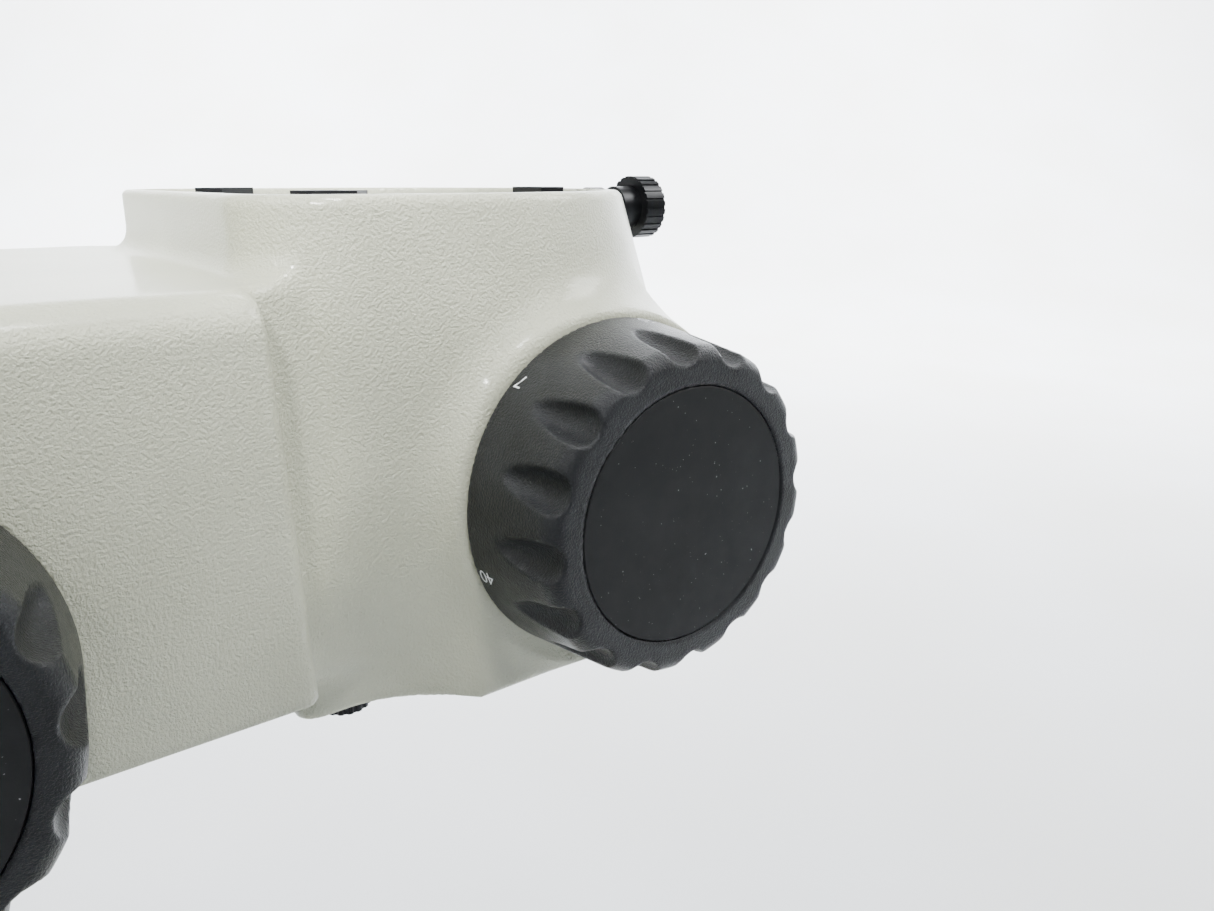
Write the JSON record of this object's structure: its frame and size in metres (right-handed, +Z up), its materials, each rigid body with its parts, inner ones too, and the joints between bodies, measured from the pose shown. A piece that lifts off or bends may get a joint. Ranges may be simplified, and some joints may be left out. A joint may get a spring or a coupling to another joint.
{
  "type": "stereo microscope",
  "caption": "Stereo zoom microscope on a pillar stand, with rack focusing arm, scalloped zoom and focus knobs and an open dovetail seat for its binocular head.",
  "frame": {"origin": "centre of the stand's footprint on the bench, under the feet", "axes": "+Z up along the pillar; the user sits on the -Y side and the pillar stands on the +Y side; the zoom and focus knobs face -X and +X"},
  "size_m": [0.2, 0.264, 0.356],
  "materials": {
    "painted_casting": "satin fine-textured enamel",
    "black_moulded": "satin moulded, fine spark texture",
    "blackened_steel": "black oxide",
    "steel": "turned",
    "chromed_steel": "ground and hard chromed",
    "brass": "turned",
    "aluminium": "clear anodised",
    "rubber": "matt",
    "stage_white": "gloss",
    "optical_glass": "coated and polished"
  },
  "bodies": {
    "stand": {"base_plate": "painted_casting", "base_feet": "rubber", "stage_plate": "stage_white", "clip_screws": "steel", "pillar": "chromed_steel", "pillar_cap": "black_moulded", "pillar_flange": "painted_casting", "flange_screws": "blackened_steel", "pillar_bolt": "steel"},
    "clip_left": {"stage_clip_left": "steel"},
    "clip_right": {"stage_clip_right": "steel"},
    "collar": {"safety_collar": "blackened_steel"},
    "collar_thumb": {"collar_screw": "black_moulded"},
    "liner": {"sleeve_liner": "brass"},
    "carriage": {"carriage": "painted_casting", "dovetail_slide": "steel", "slide_screws": "blackened_steel", "focus_rack": "brass"},
    "clamp": {"clamp_screw": "steel", "clamp_knob": "black_moulded"},
    "arm": {"body_shell": "painted_casting", "arm_cover": "blackened_steel", "tower_cover": "blackened_steel", "cover_screws": "blackened_steel", "objective_ring": "blackened_steel", "objective_lens": "optical_glass", "lens_retainer": "blackened_steel", "seat_plate": "aluminium", "fixed_jaws": "blackened_steel", "jaw_screws": "blackened_steel", "screw_bush": "blackened_steel", "guide_rods": "steel", "tube_lens_plate": "aluminium", "tube_lenses": "optical_glass", "zoom_bushes": "brass", "pinion_bushes": "brass", "slide_guides": "brass"},
    "ring_thumb": {"ring_screw": "blackened_steel"},
    "jaw": {"sliding_jaw": "blackened_steel"},
    "head_thumb": {"thumb_spindle": "steel", "thumb_head": "blackened_steel"},
    "zoom_knobs": {"zoom_shaft": "steel", "zoom_knob_left": "black_moulded", "zoom_knob_right": "black_moulded", "zoom_cap_left": "black_moulded", "zoom_cap_right": "black_moulded", "zoom_pinion": "brass"},
    "upper_group": {"upper_carrier": "aluminium", "upper_lenses": "optical_glass"},
    "lower_group": {"lower_carrier": "aluminium", "lower_lenses": "optical_glass"},
    "focus_knobs": {"pinion_shaft": "steel", "focus_pinion": "steel", "focus_knob_left": "black_moulded", "focus_knob_right": "black_moulded", "focus_cap_left": "black_moulded", "focus_cap_right": "black_moulded"}
  },
  "joints": [
    {"name": "clip_left_swivel", "type": "hinge", "parent": "stand", "child": "clip_left", "pos_m": [-0.066, -0.0515, 0.028], "axis": [0, 0, 1], "continuous": true},
    {"name": "clip_right_swivel", "type": "hinge", "parent": "stand", "child": "clip_right", "pos_m": [0.066, -0.0515, 0.028], "axis": [0, 0, 1], "continuous": true},
    {"name": "collar_slide", "type": "slide", "parent": "stand", "child": "collar", "axis": [0, 0, 1], "range_m": [-0.05, 0.008]},
    {"name": "collar_screw_turn", "type": "hinge", "parent": "collar", "child": "collar_thumb", "pos_m": [0, 0.118, 0.109], "axis": [0, 1, 0], "range_deg": [0, 360]},
    {"name": "height_slide", "type": "slide", "parent": "stand", "child": "liner", "axis": [0, 0, 1], "range_m": [-0.115, 0.016]},
    {"name": "arm_swivel", "type": "hinge", "parent": "liner", "child": "carriage", "pos_m": [0, 0.092, 0.28], "axis": [0, 0, 1], "continuous": true},
    {"name": "clamp_turn", "type": "hinge", "parent": "carriage", "child": "clamp", "pos_m": [0.034, 0.1155, 0.28], "axis": [1, 0, 0], "range_deg": [0, 540]},
    {"name": "focus_slide", "type": "slide", "parent": "carriage", "child": "arm", "axis": [0, 0, 1], "range_m": [-0.02, 0.02]},
    {"name": "focus_turn", "type": "hinge", "parent": "arm", "child": "focus_knobs", "pos_m": [0, 0.0525, 0.277], "axis": [-1, 0, 0], "range_deg": [-192, 192]},
    {"name": "zoom_turn", "type": "hinge", "parent": "arm", "child": "zoom_knobs", "pos_m": [0, -0.066, 0.28], "axis": [-1, 0, 0], "range_deg": [-42.5, 252]},
    {"name": "upper_zoom_slide", "type": "slide", "parent": "arm", "child": "upper_group", "axis": [0, 0, 1], "range_m": [-0.0024, 0.0134]},
    {"name": "lower_zoom_slide", "type": "slide", "parent": "arm", "child": "lower_group", "axis": [0, 0, 1], "range_m": [-0.0134, 0.0024]},
    {"name": "ring_screw_turn", "type": "hinge", "parent": "arm", "child": "ring_thumb", "pos_m": [-0.037, -0.02, 0.242], "axis": [0, 0, 1], "range_deg": [0, 360]},
    {"name": "jaw_slide", "type": "slide", "parent": "arm", "child": "jaw", "axis": [0, -1, 0], "range_m": [0, 0.0029]},
    {"name": "thumb_turn", "type": "hinge", "parent": "jaw", "child": "head_thumb", "pos_m": [0, -0.116, 0.327], "axis": [0, -1, 0], "range_deg": [0, 1440]}
  ],
  "couplings": [
    {"joint": "focus_turn", "follows": "focus_slide", "rad_per_m": 166.67},
    {"joint": "upper_zoom_slide", "follows": "zoom_turn", "m_per_rad": 0.003},
    {"joint": "lower_zoom_slide", "follows": "zoom_turn", "m_per_rad": -0.003},
    {"joint": "jaw_slide", "follows": "thumb_turn", "m_per_rad": 0.00011141}
  ]
}
